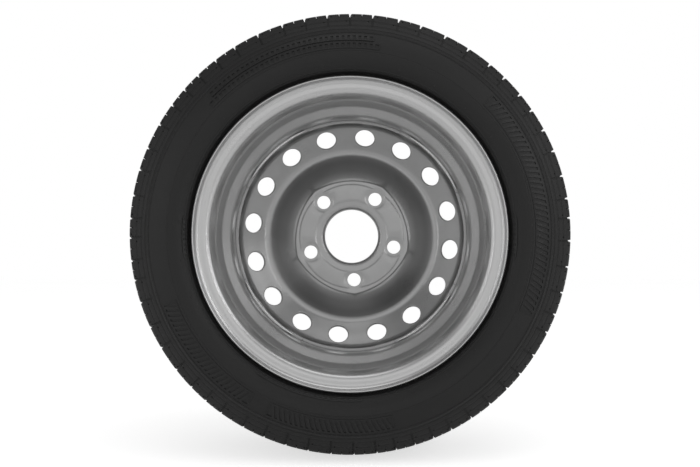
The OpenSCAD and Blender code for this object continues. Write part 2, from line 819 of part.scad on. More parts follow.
module core_pin() {
    color(brass)
        laid()
            at_valve()
                rotate_extrude()
                    polygon([
                        [0, pin_foot - 0.9], [pin_r, pin_foot - 0.9], [pin_r, pin_foot - 0.6],
                        [pin_foot_r, pin_foot - 0.6], [pin_foot_r, pin_foot], [pin_r, pin_foot],
                        [pin_r, spring_top], [pin_collar_r, spring_top],
                        [pin_collar_r, spring_top + 0.5], [pin_r, spring_top + 0.5],
                        [pin_r, pin_top - 0.1], [pin_r - 0.1, pin_top], [0, pin_top]
                    ]);
}

module pin_seal() {
    color(rubber)
        laid()
            at_valve()
                rotate_extrude()
                    translate([pin_r, pin_foot])
                        square([pin_foot_r - 0.05 - pin_r, pin_seal_t]);
}

// Coil of wire between the barrel's floor and the pin's collar

wire_sides = 6;
turn_steps = 14;
spring_mid_r = (pin_r + barrel_r - barrel_wall) / 2;

module core_spring() {
    wire_r = spring_wire_d / 2;
    low = spring_foot + wire_r;
    rise = spring_top - spring_foot - 2 * wire_r;
    rings = spring_turns * turn_steps;
    points = [for (i = [0:rings], k = [0:wire_sides - 1])
        let(a = 360 * i / turn_steps, b = 360 * (k + 0.5) / wire_sides, r = spring_mid_r + wire_r * cos(b))
        [r * cos(a), r * sin(a), low + rise * i / rings + wire_r * sin(b)]];
    sides = [for (i = [0:rings - 1], k = [0:wire_sides - 1])
        let(next = (k + 1) % wire_sides)
        [i * wire_sides + k, i * wire_sides + next,
            (i + 1) * wire_sides + next, (i + 1) * wire_sides + k]];
    color(spring_steel)
        laid()
            at_valve()
                polyhedron(
                    points,
                    concat(sides, [
                        backwards([for (k = [0:wire_sides - 1]) k]),
                        [for (k = [0:wire_sides - 1]) rings * wire_sides + k]
                    ]),
                    convexity = 10
                );
}

// Cap: screwed over the thread until its washer meets the stem

cap_foot = valve_l + cap_seal_t + 2 - cap_h;
cap_r = cap_d / 2;
cap_hole_r = thread_r + thread_gap;
cap_rib_r = 0.5;

module valve_cap() {
    color(cap_plastic)
        laid()
            at_valve()
                difference() {
                    intersection() {
                        translate([0, 0, cap_foot])
                            linear_extrude(height = cap_h)
                                union() {
                                    circle(cap_r - 0.35);
                                    for (i = [0:cap_ribs - 1])
                                        rotate(360 * i / cap_ribs)
                                            translate([cap_r - cap_rib_r, 0])
                                                circle(cap_rib_r, $fn = 16);
                                }
                        rotate_extrude()
                            polygon([
                                [0, cap_foot], [cap_r - 0.5, cap_foot], [cap_r + 0.1, cap_foot + 0.6],
                                [cap_r + 0.1, cap_foot + cap_h - 1.1], [cap_r - 1, cap_foot + cap_h],
                                [0, cap_foot + cap_h]
                            ]);
                    }
                    translate([0, 0, cap_foot - past])
                        cylinder(h = valve_l + cap_seal_t - cap_foot + past, r = cap_hole_r);
                }
}

module cap_seal() {
    seal_r = thread_r - 0.2;
    color(rubber)
        laid()
            at_valve()
                translate([0, 0, valve_l])
                    difference() {
                        cylinder(h = cap_seal_t, r = seal_r);
                        translate([0, 0, -past])
                            cylinder(h = cap_seal_t + 2 * past, r = seal_r - 2);
                    }
}

tyre();
rim();
wheel_disc();
weld_beads();
valve_body();
valve_stem();
core_plug();
core_barrel();
core_gasket();
core_pin();
pin_seal();
core_spring();
valve_cap();
cap_seal();
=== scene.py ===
"""Pressed steel wheel with its tyre and a snap-in valve, dressed for a studio picture.

Lengths are in metres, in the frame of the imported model: the wheel's axis lies along Y, the hub side
faces -Y and +Z is up. Angles round the wheel, called turns, are clockwise from straight up as seen
from the hub side. Sizes of the wheel's own features are given in millimetres times MM.
"""

import json
import math

import bmesh
import bpy
from mathutils import Matrix, Vector
from mathutils.bvhtree import BVHTree


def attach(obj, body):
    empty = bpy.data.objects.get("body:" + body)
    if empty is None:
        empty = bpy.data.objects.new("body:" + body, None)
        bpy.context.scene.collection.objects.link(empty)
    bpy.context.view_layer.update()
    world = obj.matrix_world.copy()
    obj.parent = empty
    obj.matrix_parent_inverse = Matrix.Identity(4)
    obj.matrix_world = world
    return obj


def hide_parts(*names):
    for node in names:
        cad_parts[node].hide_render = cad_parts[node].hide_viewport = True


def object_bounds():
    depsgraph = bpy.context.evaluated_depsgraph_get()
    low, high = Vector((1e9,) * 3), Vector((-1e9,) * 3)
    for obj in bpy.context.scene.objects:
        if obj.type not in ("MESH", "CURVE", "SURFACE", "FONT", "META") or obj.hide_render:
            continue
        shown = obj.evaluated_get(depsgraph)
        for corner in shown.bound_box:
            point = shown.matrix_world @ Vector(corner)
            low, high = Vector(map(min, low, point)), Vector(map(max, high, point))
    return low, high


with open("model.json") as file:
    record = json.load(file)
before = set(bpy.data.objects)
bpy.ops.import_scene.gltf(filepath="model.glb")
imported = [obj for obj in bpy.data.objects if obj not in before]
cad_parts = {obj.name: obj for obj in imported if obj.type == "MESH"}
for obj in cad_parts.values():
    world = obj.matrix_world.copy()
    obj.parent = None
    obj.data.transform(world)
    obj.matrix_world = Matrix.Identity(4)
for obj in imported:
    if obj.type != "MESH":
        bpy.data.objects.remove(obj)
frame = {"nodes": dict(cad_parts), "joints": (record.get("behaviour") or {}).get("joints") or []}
cad_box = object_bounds()

MM = 0.001


# Node trees

class Value:
    """Output of a node. Its operators add Math nodes to the tree that it belongs to."""

    def __init__(self, tree, socket):
        self.tree = tree
        self.socket = socket

    def math(self, operation, *terms):
        return self.tree.node("ShaderNodeMath", {"operation": operation}, dict(enumerate(terms)))[0]

    def __add__(self, other):
        return self.math("ADD", self, other)

    def __sub__(self, other):
        return self.math("SUBTRACT", self, other)

    def __rsub__(self, other):
        return self.math("SUBTRACT", other, self)

    def __mul__(self, other):
        return self.math("MULTIPLY", self, other)

    def __truediv__(self, other):
        return self.math("DIVIDE", self, other)

    __radd__ = __add__
    __rmul__ = __mul__

    def sin(self):
        return self.math("SINE", self)

    def cos(self):
        return self.math("COSINE", self)

    def size(self):
        return self.math("ABSOLUTE", self)

    def power(self, exponent):
        return self.math("POWER", self, exponent)


class Outputs:
    """A node that was added, whose outputs are read by name or number."""

    def __init__(self, tree, made):
        self.tree = tree
        self.made = made

    def __getitem__(self, key):
        return Value(self.tree, self.made.outputs[key])


class Tree:
    """A node tree, to which one method adds every node."""

    def __init__(self, nodes_and_links):
        self.tree = nodes_and_links

    def node(self, kind, settings=None, inputs=None):
        made = self.tree.nodes.new(kind)
        for key, setting in (settings or {}).items():
            if key == "stops":
                set_stops(made.color_ramp, setting)
            else:
                setattr(made, key, setting)
        for key, value in (inputs or {}).items():
            for term in value if isinstance(value, list) else [value]:
                if isinstance(term, Value):
                    self.tree.links.new(term.socket, made.inputs[key])
                else:
                    made.inputs[key].default_value = term
        return Outputs(self, made)


def set_stops(ramp, stops):
    while len(ramp.elements) < len(stops):
        ramp.elements.new(1)
    for element, (position, level) in zip(ramp.elements, stops):
        element.position = position
        element.color = (level, level, level, 1)


def grey(level, warmth=0.0):
    """A grey, slightly warmer or cooler, as a colour with alpha."""
    return (level * (1 + warmth), level, level * (1 - warmth), 1)


# Materials

def new_surface(name):
    """An empty material with its tree, and the object's own coordinates in metres."""
    material = bpy.data.materials.new(name)
    material.use_nodes = True
    material.node_tree.nodes.clear()
    tree = Tree(material.node_tree)
    return material, tree, tree.node("ShaderNodeTexCoord")["Object"]


def noise(tree, place, scale, detail=2.0, roughness=0.5):
    settings = {"Vector": place, "Scale": scale, "Detail": detail, "Roughness": roughness}
    return tree.node("ShaderNodeTexNoise", {}, settings)["Fac"]


def combine(tree, x, y, z):
    return tree.node("ShaderNodeCombineXYZ", {}, {"X": x, "Y": y, "Z": z})["Vector"]


def split(tree, vector):
    parts = tree.node("ShaderNodeSeparateXYZ", {}, {"Vector": vector})
    return parts["X"], parts["Y"], parts["Z"]


def bumped(tree, height, strength, distance, normal=None):
    inputs = {"Height": height, "Strength": strength, "Distance": distance}
    if normal is not None:
        inputs["Normal"] = normal
    return tree.node("ShaderNodeBump", {}, inputs)["Normal"]


def rounded(tree, radius):
    """Normal that rounds the sharp edges of pressed or rolled metal."""
    return tree.node("ShaderNodeBevel", {"samples": 6}, {"Radius": radius})["Normal"]


def blended(tree, factor, first, second):
    """Mix of two colours."""
    return tree.node("ShaderNodeMix", {"data_type": "RGBA"}, {0: factor, 6: first, 7: second})[2]


def close_surface(tree, inputs):
    shader = tree.node("ShaderNodeBsdfPrincipled", {}, inputs)["BSDF"]
    tree.node("ShaderNodeOutputMaterial", {}, {"Surface": shader})


def satin_silver(tree, place, darkest, lightest, tone, normal, painted_shade=0.0):
    """Closes a tree with satin silver paint: flakes of metal under a thin clear coat.

    Where the last argument is more than 0, the colour is darkened towards a flat dark grey by that share, which
    is painted shade.
    """
    flake = noise(tree, place, 2600, 1)
    cloud = noise(tree, place, 22, 3)
    peel = noise(tree, place, 480, 2)
    full = blended(tree, flake * 0.30 + cloud * 0.35 + tone * 0.35, grey(darkest), grey(lightest))
    close_surface(tree, {
        "Base Color": blended(tree, painted_shade, full, VALLEY_SHADE_GREY),
        "Metallic": 0.95,
        "Roughness": cloud * 0.08 + flake * 0.06 + 0.22,
        "Coat Weight": 0.12,
        "Coat Roughness": 0.14,
        "Normal": bumped(tree, peel, 0.10, 0.2 * MM, normal),
    })


def wheel_radius(tree, place):
    """Distance from the wheel's axis."""
    x, y, z = split(tree, place)
    return (x * x + z * z).power(0.5)


# Painted shade in the disc's valley: the valley's radius, the distances from it at which the painted shade
# starts and ends to fade, its greatest share, and the grey that it darkens the paint towards
VALLEY_RADIUS = 91 * MM
VALLEY_SHADE_CORE = 5 * MM
VALLEY_SHADE_END = 19 * MM
VALLEY_SHADE_SHARE = 0.62
VALLEY_SHADE_GREY = grey(0.16)


def disc_paint_and_shade():
    """Paint on the pressed disc, over the unevenness that the press leaves, with painted shade: a darker grey
    than the rim's same paint, and darker still round its valley.
    """
    material, tree, place = new_surface("disc_paint_and_shade")
    draw = noise(tree, place, 70, 2)
    from_valley = (wheel_radius(tree, place) - VALLEY_RADIUS).size()
    # Share of painted shade, greatest at the valley and fading out away from it
    valley = tree.node("ShaderNodeMapRange", {"interpolation_type": "SMOOTHSTEP"}, {
        "Value": from_valley, "From Min": VALLEY_SHADE_CORE, "From Max": VALLEY_SHADE_END,
        "To Min": VALLEY_SHADE_SHARE, "To Max": 0.0})["Result"]
    uneven = bumped(tree, draw, 0.05, 0.8 * MM, rounded(tree, 1.6 * MM))
    # The disc's greys are darker than the rim's, though both are one paint: painted shade for the depth of the
    # wheel's bowl
    satin_silver(tree, place, 0.34, 0.44, draw, uneven, valley)
    return material


def rim_paint():
    """Paint on the rolled band, with fine streaks round it that the rolls leave."""
    material, tree, place = new_surface("rim_paint")
    x, y, z = split(tree, place)
    along = tree.node("ShaderNodeMath", {"operation": "ARCTAN2"}, {0: x, 1: z})[0]
    streaks = noise(tree, combine(tree, wheel_radius(tree, place), along * 0.004, y), 900, 2)
    uneven = bumped(tree, streaks, 0.02, 0.1 * MM, rounded(tree, 0.8 * MM))
    satin_silver(tree, place, 0.54, 0.64, streaks, uneven)
    return material


def weld_paint():
    """The same paint over the rougher metal of a weld."""
    material, tree, place = new_surface("weld_paint")
    grain = noise(tree, place, 900, 3)
    cloud = noise(tree, place, 60, 2)
    close_surface(tree, {
        "Base Color": blended(tree, cloud, grey(0.55), grey(0.70)),
        "Metallic": 0.9,
        "Roughness": grain * 0.15 + 0.16,
        "Normal": bumped(tree, grain, 0.12, 0.3 * MM),
    })
    return material


def tyre_rubber(name, shine):
    """Matt black rubber with the fine grain of the mould and a slight bloom."""
    material, tree, place = new_surface(name)
    grain = noise(tree, place, 1500, 2)
    pores = noise(tree, place, 420, 3, 0.6)
    bloom = noise(tree, place, 14, 4, 0.6)
    tone = bloom * 0.7 + grain * 0.3
    close_surface(tree, {
        "Base Color": blended(tree, tone, grey(0.005, 0.01), grey(0.013, 0.01)),
        "Roughness": bloom * 0.24 + pores * 0.12 + 0.33 - shine,
        "Specular IOR Level": 0.4,
        "Normal": bumped(tree, grain * 0.6 + pores * 0.4, 0.28, 0.3 * MM),
    })
    return material


def moulded_rubber():
    """Smoother rubber of the valve and the seals."""
    material, tree, place = new_surface("moulded_rubber")
    grain = noise(tree, place, 3000, 2)
    close_surface(tree, {
        "Base Color": blended(tree, grain, grey(0.015), grey(0.03)),
        "Roughness": grain * 0.15 + 0.4,
        "Normal": bumped(tree, grain, 0.15, 0.1 * MM),
    })
    return material


def turned_brass():
    """Brass with the fine marks that turning leaves."""
    material, tree, place = new_surface("turned_brass")
    marks = noise(tree, place, 6000, 1)
    tarnish = noise(tree, place, 300, 3)
    close_surface(tree, {
        "Base Color": blended(tree, tarnish, (0.62, 0.43, 0.17, 1), (0.78, 0.58, 0.27, 1)),
        "Metallic": 1.0,
        "Roughness": tarnish * 0.15 + 0.22,
        "Normal": bumped(tree, marks, 0.2, 0.05 * MM),
    })
    return material


def cap_plastic():
    """Black moulded plastic with a fine spark-eroded grain."""
    material, tree, place = new_surface("cap_plastic")
    grain = noise(tree, place, 4000, 2)
    close_surface(tree, {
        "Base Color": blended(tree, grain, grey(0.012), grey(0.024)),
        "Roughness": grain * 0.15 + 0.3,
        "Normal": bumped(tree, grain, 0.15, 0.08 * MM),
    })
    return material


def seal_white():
    material, tree, place = new_surface("seal_white")
    grain = noise(tree, place, 2500, 2)
    close_surface(tree, {
        "Base Color": blended(tree, grain, grey(0.72), grey(0.82)),
        "Roughness": grain * 0.1 + 0.45,
    })
    return material


def bright_wire():
    material, tree, place = new_surface("bright_wire")
    drawn = noise(tree, place, 5000, 2)
    close_surface(tree, {
        "Base Color": blended(tree, drawn, grey(0.5), grey(0.65)),
        "Metallic": 1.0,
        "Roughness": drawn * 0.1 + 0.2,
    })
    return material


pressed_paint_and_shade = disc_paint_and_shade()
rolled_paint = rim_paint()
weld_metal = weld_paint()
rubber = tyre_rubber("tyre_rubber", 0.0)
raised_rubber = tyre_rubber("raised_rubber", 0.12)
smooth_rubber = moulded_rubber()
brass = turned_brass()
black_plastic = cap_plastic()
white_seal = seal_white()
steel_wire = bright_wire()


# Camera, lamps and floor

IMAGE_SIZE = (700, 467)
# Pixel of the photograph that the camera's axis passes through
AXIS_PIXEL = (363.8, 251.6)
FOCAL_PIXELS = 802
CAMERA_PLACE = (0.0158, -0.998, -0.0198)


def make_camera():
    data = bpy.data.cameras.new("camera")
    data.sensor_width = 36
    data.lens = FOCAL_PIXELS / IMAGE_SIZE[0] * data.sensor_width
    data.shift_x = (IMAGE_SIZE[0] / 2 - AXIS_PIXEL[0]) / IMAGE_SIZE[0]
    data.shift_y = (AXIS_PIXEL[1] - IMAGE_SIZE[1] / 2) / IMAGE_SIZE[0]
    data.clip_start = 0.01
    data.clip_end = 30
    camera = bpy.data.objects.new("camera", data)
    camera.location = CAMERA_PLACE
    camera.rotation_euler = (math.radians(90), 0, 0)
    bpy.context.scene.collection.objects.link(camera)
    bpy.context.scene.camera = camera


def softbox(name, place, size, watts):
    """A rectangular area lamp that faces the wheel's middle."""
    data = bpy.data.lights.new(name, "AREA")
    data.shape = "RECTANGLE"
    data.size, data.size_y = size
    data.energy = watts
    lamp = bpy.data.objects.new(name, data)
    lamp.location = place
    lamp.rotation_euler = (-Vector(place)).to_track_quat("-Z", "Y").to_euler()
    bpy.context.scene.collection.objects.link(lamp)


# Name, place, width and height, and watts of each lamp
LAMPS = [
    ("above", (0.3, -0.8, 2.2), (2.2, 1.2), 6.2),
    ("right", (2.0, -0.8, 0.9), (1.4, 1.4), 5),
    ("left", (-2.1, -0.6, 0.5), (1.0, 1.4), 2.6),
    ("right_strip", (1.5, -1.6, 0.5), (0.12, 1.4), 2.4),
    ("left_strip", (-1.6, -1.5, 0.3), (0.12, 1.4), 2.4),
]
# Brightness of the studio, as stops from behind the camera (0) over the sides to behind the wheel (1)
STUDIO = [(0.0, 0.86), (0.05, 0.80), (0.18, 0.30), (0.37, 0.52), (0.63, 0.22), (0.88, 0.35), (1.0, 0.6)]
FLOOR_HALF_WIDTH = 6.0
# Light that the floor adds to what the camera sees of it, and to what metal mirrors of it
FLOOR_TO_CAMERA = 0.66
FLOOR_IN_METAL = 0.2
GAP_UNDER_TYRE = 0.5 * MM


def seen_directly(tree):
    """Two values: 1 for rays straight from the camera, and 1 for those by way of metal or glass."""
    path = tree.node("ShaderNodeLightPath")
    return path["Is Camera Ray"], path["Is Glossy Ray"] + path["Is Transmission Ray"]


def make_world():
    """White surroundings to the camera, and also in the metal behind the wheel; elsewhere a pale studio."""
    world = bpy.data.worlds.new("studio")
    bpy.context.scene.world = world
    world.use_nodes = True
    world.node_tree.nodes.clear()
    tree = Tree(world.node_tree)
    camera_ray, mirrored = seen_directly(tree)
    x, along, z = split(tree, tree.node("ShaderNodeTexCoord")["Generated"])
    level = tree.node("ShaderNodeValToRGB", {"stops": STUDIO}, {0: along * 0.5 + 0.5})["Color"]
    behind = tree.node("ShaderNodeMapRange", {}, {"Value": along, "From Min": 0.8, "From Max": 1.0})["Result"]
    dim = tree.node("ShaderNodeBackground", {}, {"Color": level, "Strength": x * 0.15 + 1})["Background"]
    white = tree.node("ShaderNodeBackground", {}, {"Color": grey(1), "Strength": 1})["Background"]
    both = tree.node("ShaderNodeMixShader", {}, {0: camera_ray + mirrored * behind, 1: dim, 2: white})["Shader"]
    tree.node("ShaderNodeOutputWorld", {}, {"Surface": both})


def make_floor(low):
    """Plain pale floor under the wheel, which shows white apart from the wheel's shadow."""
    half = FLOOR_HALF_WIDTH
    mesh = bpy.data.meshes.new("floor")
    corners = [(-half, -half, low), (half, -half, low), (half, half, low), (-half, half, low)]
    mesh.from_pydata(corners, [], [(0, 1, 2, 3)])
    floor = bpy.data.objects.new("floor", mesh)
    bpy.context.scene.collection.objects.link(floor)
    material, tree, place = new_surface("pale_floor")
    camera_ray, mirrored = seen_directly(tree)
    matt = tree.node("ShaderNodeBsdfDiffuse", {}, {"Color": grey(0.86)})["BSDF"]
    strength = camera_ray * FLOOR_TO_CAMERA + mirrored * FLOOR_IN_METAL
    glow = tree.node("ShaderNodeEmission", {}, {"Color": grey(1), "Strength": strength})
    both = tree.node("ShaderNodeAddShader", {}, {0: matt, 1: glow["Emission"]})["Shader"]
    tree.node("ShaderNodeOutputMaterial", {}, {"Surface": both})
    mesh.materials.append(material)


make_camera()
make_world()
make_floor(cad_box[0].z - GAP_UNDER_TYRE)
for lamp in LAMPS:
    softbox(*lamp)


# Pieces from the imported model

MERGE_DISTANCE = 0.001 * MM


def finish_piece(piece, material, slot, body, *nodes):
    """Gives a made piece its material, the body it rides on and the nodes it stands for. The slot is not used.
    """
    piece.data.materials.clear()
    piece.data.materials.append(material)
    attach(piece, body)
    if nodes:
        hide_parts(*nodes)
    return piece


def new_piece(name, mesh):
    piece = bpy.data.objects.new(name, mesh)
    bpy.context.scene.collection.objects.link(piece)
    return piece


def soften(mesh, sharp_angle, outwards=False):
    """Smooth faces, with sharp edges where two of them meet at more than an angle in degrees."""
    shape = bmesh.new()
    shape.from_mesh(mesh)
    if outwards:
        bmesh.ops.recalc_face_normals(shape, faces=shape.faces)
    limit = math.radians(sharp_angle)
    for face in shape.faces:
        face.smooth = True
    for edge in shape.edges:
        edge.smooth = len(edge.link_faces) == 2 and edge.calc_face_angle(0) < limit
    shape.to_mesh(mesh)
    shape.free()


def joined_mesh(node, name):
    """Copy of a node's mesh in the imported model, with vertices in one place merged."""
    source = frame["nodes"][node].data
    mesh = bpy.data.meshes.new(name)
    mesh.from_pydata([v.co[:] for v in source.vertices], [], [p.vertices[:] for p in source.polygons])
    shape = bmesh.new()
    shape.from_mesh(mesh)
    bmesh.ops.remove_doubles(shape, verts=shape.verts, dist=MERGE_DISTANCE)
    shape.to_mesh(mesh)
    shape.free()
    return mesh


def smooth_copy(node, name, sharp_angle, material, slot, body):
    """A piece in the shape of a node, which it stands for, with smooth faces."""
    mesh = joined_mesh(node, name)
    soften(mesh, sharp_angle)
    return finish_piece(new_piece(name, mesh), material, slot, body, node)


smooth_copy("rim", "rim_band", 30, rolled_paint, "wheel_paint", "wheel")
smooth_copy("wheel_disc", "disc_pressing", 30, pressed_paint_and_shade, "wheel_paint", "wheel")
smooth_copy("valve_body", "valve_rubber", 30, smooth_rubber, "valve_rubber", "wheel")
smooth_copy("core_plug", "core_plug_turned", 30, brass, "brass", "wheel")
smooth_copy("core_barrel", "core_barrel_turned", 30, brass, "brass", "wheel")
smooth_copy("core_gasket", "core_gasket_ring", 30, white_seal, "white_seal", "wheel")
smooth_copy("core_pin", "core_pin_turned", 30, brass, "brass", "pin")
smooth_copy("pin_seal", "pin_seal_ring", 30, smooth_rubber, "valve_rubber", "pin")
smooth_copy("core_spring", "core_spring_wire", 50, steel_wire, "spring_steel", "wheel")
smooth_copy("valve_cap", "cap_shell", 30, black_plastic, "cap_plastic", "cap")
smooth_copy("cap_seal", "cap_washer_ring", 30, smooth_rubber, "valve_rubber", "cap_washer")


# Geometry Nodes

def shape_tree(name, sizes):
    """A Geometry Nodes tree whose inputs are points and the named sizes, with its input node."""
    group = bpy.data.node_groups.new(name, "GeometryNodeTree")
    for title, kind in {"Points": "Geometry", **sizes}.items():
        group.interface.new_socket(title, in_out="INPUT", socket_type="NodeSocket" + kind)
    group.interface.new_socket("Shape", in_out="OUTPUT", socket_type="NodeSocketGeometry")
    tree = Tree(group)
    return group, tree, tree.node("NodeGroupInput")


def close_tree(tree, shape, material):
    whole = tree.node("GeometryNodeRealizeInstances", {}, {"Geometry": shape})["Geometry"]
    dressed = tree.node("GeometryNodeSetMaterial", {}, {"Geometry": whole, "Material": material})
    tree.node("NodeGroupOutput", {}, {"Shape": dressed["Geometry"]})


def grown(name, columns, group, sizes):
    """The plain mesh that a tree makes from its sizes and from points at the origin.

    Each column gives the points an attribute, with one number for each point.
    """
    start = bpy.data.meshes.new(name)
    count = max([1] + [len(numbers) for numbers in columns.values()])
    start.from_pydata([(0, 0, 0)] * count, [], [])
    for title, numbers in columns.items():
        start.attributes.new(title, "FLOAT", "POINT").data.foreach_set("value", numbers)
    carrier = new_piece(name + "_start", start)
    modifier = carrier.modifiers.new("shape", "NODES")
    modifier.node_group = group
    for item in group.interface.items_tree:
        if item.in_out == "INPUT" and item.name in sizes:
            modifier[item.identifier] = sizes[item.name]
    depsgraph = bpy.context.evaluated_depsgraph_get()
    mesh = bpy.data.meshes.new_from_object(carrier.evaluated_get(depsgraph))
    carrier.modifiers.remove(modifier)
    bpy.data.objects.remove(carrier)
    mesh.name = name
    return mesh


def column(tree, title):
    """Attribute of the points, under the name that grown() gives it."""
    return tree.node("GeometryNodeInputNamedAttribute", {"data_type": "FLOAT"}, {"Name": title})["Attribute"]


def moved_to(tree, shape, position):
    inputs = {"Geometry": shape, "Position": position}
    return tree.node("GeometryNodeSetPosition", {}, inputs)["Geometry"]


def turned_copies(tree, points, shape):
    """A copy of the shape for each point, turned about the wheel's axis by the point's turn."""
    return tree.node("GeometryNodeInstanceOnPoints", {}, {
        "Points": tree.node("GeometryNodeMeshToPoints", {}, {"Mesh": points})["Points"],
        "Instance": shape,
        "Rotation": combine(tree, 0.0, column(tree, "turn"), 0.0),
    })["Instances"]


# Weld beads: a rippled cord on each tab of the skirt, rounded off at both ends

WELD_RADIUS = 143.6 * MM
WELD_HEIGHT = 6.6 * MM
WELD_THICKNESS = 2.5 * MM
WELD_MIDDLE = math.radians(48.4)
WELD_SPAN = math.radians(37)


def weld_tree():
    group, tree, entry = shape_tree("weld_cord", {
        "Radius": "Float", "Height": "Float", "Span": "Float", "Thickness": "Float",
        "Ripple": "Float", "Ripples": "Float", "Steps": "Int", "Material": "Material"})
    line = tree.node("GeometryNodeMeshLine", {}, {"Count": entry["Steps"]})["Mesh"]
    share = tree.node("GeometryNodeInputIndex")["Index"] / (entry["Steps"] - 1)
    turn = (share - 0.5) * entry["Span"]
    place = combine(tree, turn.sin() * entry["Radius"], entry["Height"], turn.cos() * entry["Radius"])
    curve = tree.node("GeometryNodeMeshToCurve", {}, {"Mesh": moved_to(tree, line, place)})["Curve"]
    from_middle = (share * 2 - 1).size()
    full = (1.001 - from_middle.power(3)).power(0.6)
    wave = (share * entry["Ripples"] * (2 * math.pi)).sin() * entry["Ripple"] + 1
    section = tree.node("GeometryNodeCurvePrimitiveCircle", {}, {"Resolution": 14, "Radius": 1.0})
    cord = tree.node("GeometryNodeCurveToMesh", {}, {
        "Curve": curve, "Profile Curve": section["Curve"], "Fill Caps": True,
        "Scale": full * wave * entry["Thickness"]})["Mesh"]
    close_tree(tree, turned_copies(tree, entry["Points"], cord), entry["Material"])
    return group


def weld_beads():
    turns = [WELD_MIDDLE + math.radians(90) * i for i in range(4)]
    mesh = grown("weld_cords", {"turn": turns}, weld_tree(), {
        "Radius": WELD_RADIUS, "Height": WELD_HEIGHT, "Span": WELD_SPAN, "Thickness": WELD_THICKNESS,
        "Ripple": 0.06, "Ripples": 46.0, "Steps": 280, "Material": weld_metal})
    soften(mesh, 60, outwards=True)
    finish_piece(new_piece("weld_cords", mesh), weld_metal, "wheel_paint", "wheel", "weld_beads")


weld_beads()


# Tyre: fine cuts in its blocks and ribs, and small marks of the mould's vents

# Order of long, medium and short pitches of the tread, and the share of the tyre's round that each takes
PITCH_ORDER = ("MLMLLLSMSMMLMSMLLMSLMSMMMS" "SSSMMMMM" "MLSSMLMLMSMSMLMLMSSMMLLMMM")
PITCH_SHARE = {"S": 5.1, "M": 6, "L": 6.85}
FIRST_PITCH = math.radians(0.1)
SLOT_WIDTH = 0.7 * MM
# A slot's slab reaches from its floor to well above the tread
SLAB_DEPTH = 14 * MM
# Share of a pitch and place across the tread of the slots in each rib
RIB_SLOTS = ((0.25, 22.0 * MM), (0.75, 31.0 * MM))
# Share of a block's length and radius of its pits
PIT_PLACES = ((0.16, 250.6 * MM), (0.82, 243.4 * MM))
# Where the lines that look for the sidewall start, well outside the tyre
BESIDE_TYRE = 200 * MM


def pitch_edges():
    """Turns of the grooves across the shoulder."""
    whole = sum(PITCH_SHARE[letter] for letter in PITCH_ORDER)
    edges, reached = [], 0
    for letter in PITCH_ORDER:
        edges.append(FIRST_PITCH + 2 * math.pi * reached / whole)
        reached += PITCH_SHARE[letter]
    return edges + [FIRST_PITCH + 2 * math.pi]


def cut_tree():
    """Thin slots, each a slab that leans with the tread and slants across it."""
    group, tree, entry = shape_tree("thin_slots", {
        "Width": "Float", "Length": "Float", "Depth": "Float", "Place": "Float", "Floor": "Float",
        "Lean": "Float", "Slant": "Float", "Material": "Material"})
    slab = tree.node("GeometryNodeMeshCube", {}, {
        "Size": combine(tree, entry["Width"], entry["Length"], entry["Depth"])})["Mesh"]
    raised = tree.node("GeometryNodeTransform", {}, {
        "Geometry": slab, "Translation": combine(tree, 0.0, 0.0, entry["Depth"] / 2)})["Geometry"]
    set_in = tree.node("GeometryNodeTransform", {}, {
        "Geometry": raised, "Translation": combine(tree, 0.0, entry["Place"], entry["Floor"]),
        "Rotation": combine(tree, entry["Lean"], 0.0, entry["Slant"])})["Geometry"]
    close_tree(tree, turned_copies(tree, entry["Points"], set_in), entry["Material"])
    return group


def pin_tree():
    """Round pins along the wheel's axis, each at its own turn, radius and height."""
    group, tree, entry = shape_tree("round_pins", {
        "Radius": "Float", "Depth": "Float", "Material": "Material"})
    pin = tree.node("GeometryNodeMeshCylinder", {}, {
        "Vertices": 10, "Radius": entry["Radius"], "Depth": entry["Depth"] * 2})["Mesh"]
    across = tree.node("GeometryNodeTransform", {}, {
        "Geometry": pin, "Rotation": (math.radians(90), 0.0, 0.0)})["Geometry"]
    turn, radius = column(tree, "turn"), column(tree, "radius")
    points = tree.node("GeometryNodeMeshToPoints", {}, {
        "Mesh": entry["Points"],
        "Position": combine(tree, turn.sin() * radius, column(tree, "height"), turn.cos() * radius)})
    copies = tree.node("GeometryNodeInstanceOnPoints", {}, {
        "Points": points["Points"], "Instance": across,
        "Rotation": combine(tree, 0.0, turn, 0.0)})["Instances"]
    close_tree(tree, copies, entry["Material"])
    return group


def cut_out(mesh, cutters):
    """Takes the cutters' solids out of the mesh."""
    body, tool = new_piece("body_to_cut", mesh), new_piece("cutter", cutters)
    modifier = body.modifiers.new("cut", "BOOLEAN")
    modifier.operation = "DIFFERENCE"
    modifier.solver = "MANIFOLD"
    modifier.object = tool
    depsgraph = bpy.context.evaluated_depsgraph_get()
    cut = bpy.data.meshes.new_from_object(body.evaluated_get(depsgraph))
    bpy.data.objects.remove(body)
    bpy.data.objects.remove(tool)
    return cut


def joined(name, meshes):
    """One mesh of several, which stay apart in it."""
    shape = bmesh.new()
    for mesh in meshes:
        shape.from_mesh(mesh)
    whole = bpy.data.meshes.new(name)
    shape.to_mesh(whole)
    shape.free()
    return whole


tyre_surface = BVHTree.FromObject(frame["nodes"]["tyre"], bpy.context.evaluated_depsgraph_get())


def wall_height(radius, turn, side):
    """Height along the wheel's axis at which a line beside the tyre meets its sidewall."""
    start = Vector((radius * math.sin(turn), side * BESIDE_TYRE, radius * math.cos(turn)))
    return tyre_surface.ray_cast(start, Vector((0, -side, 0)))[0].y


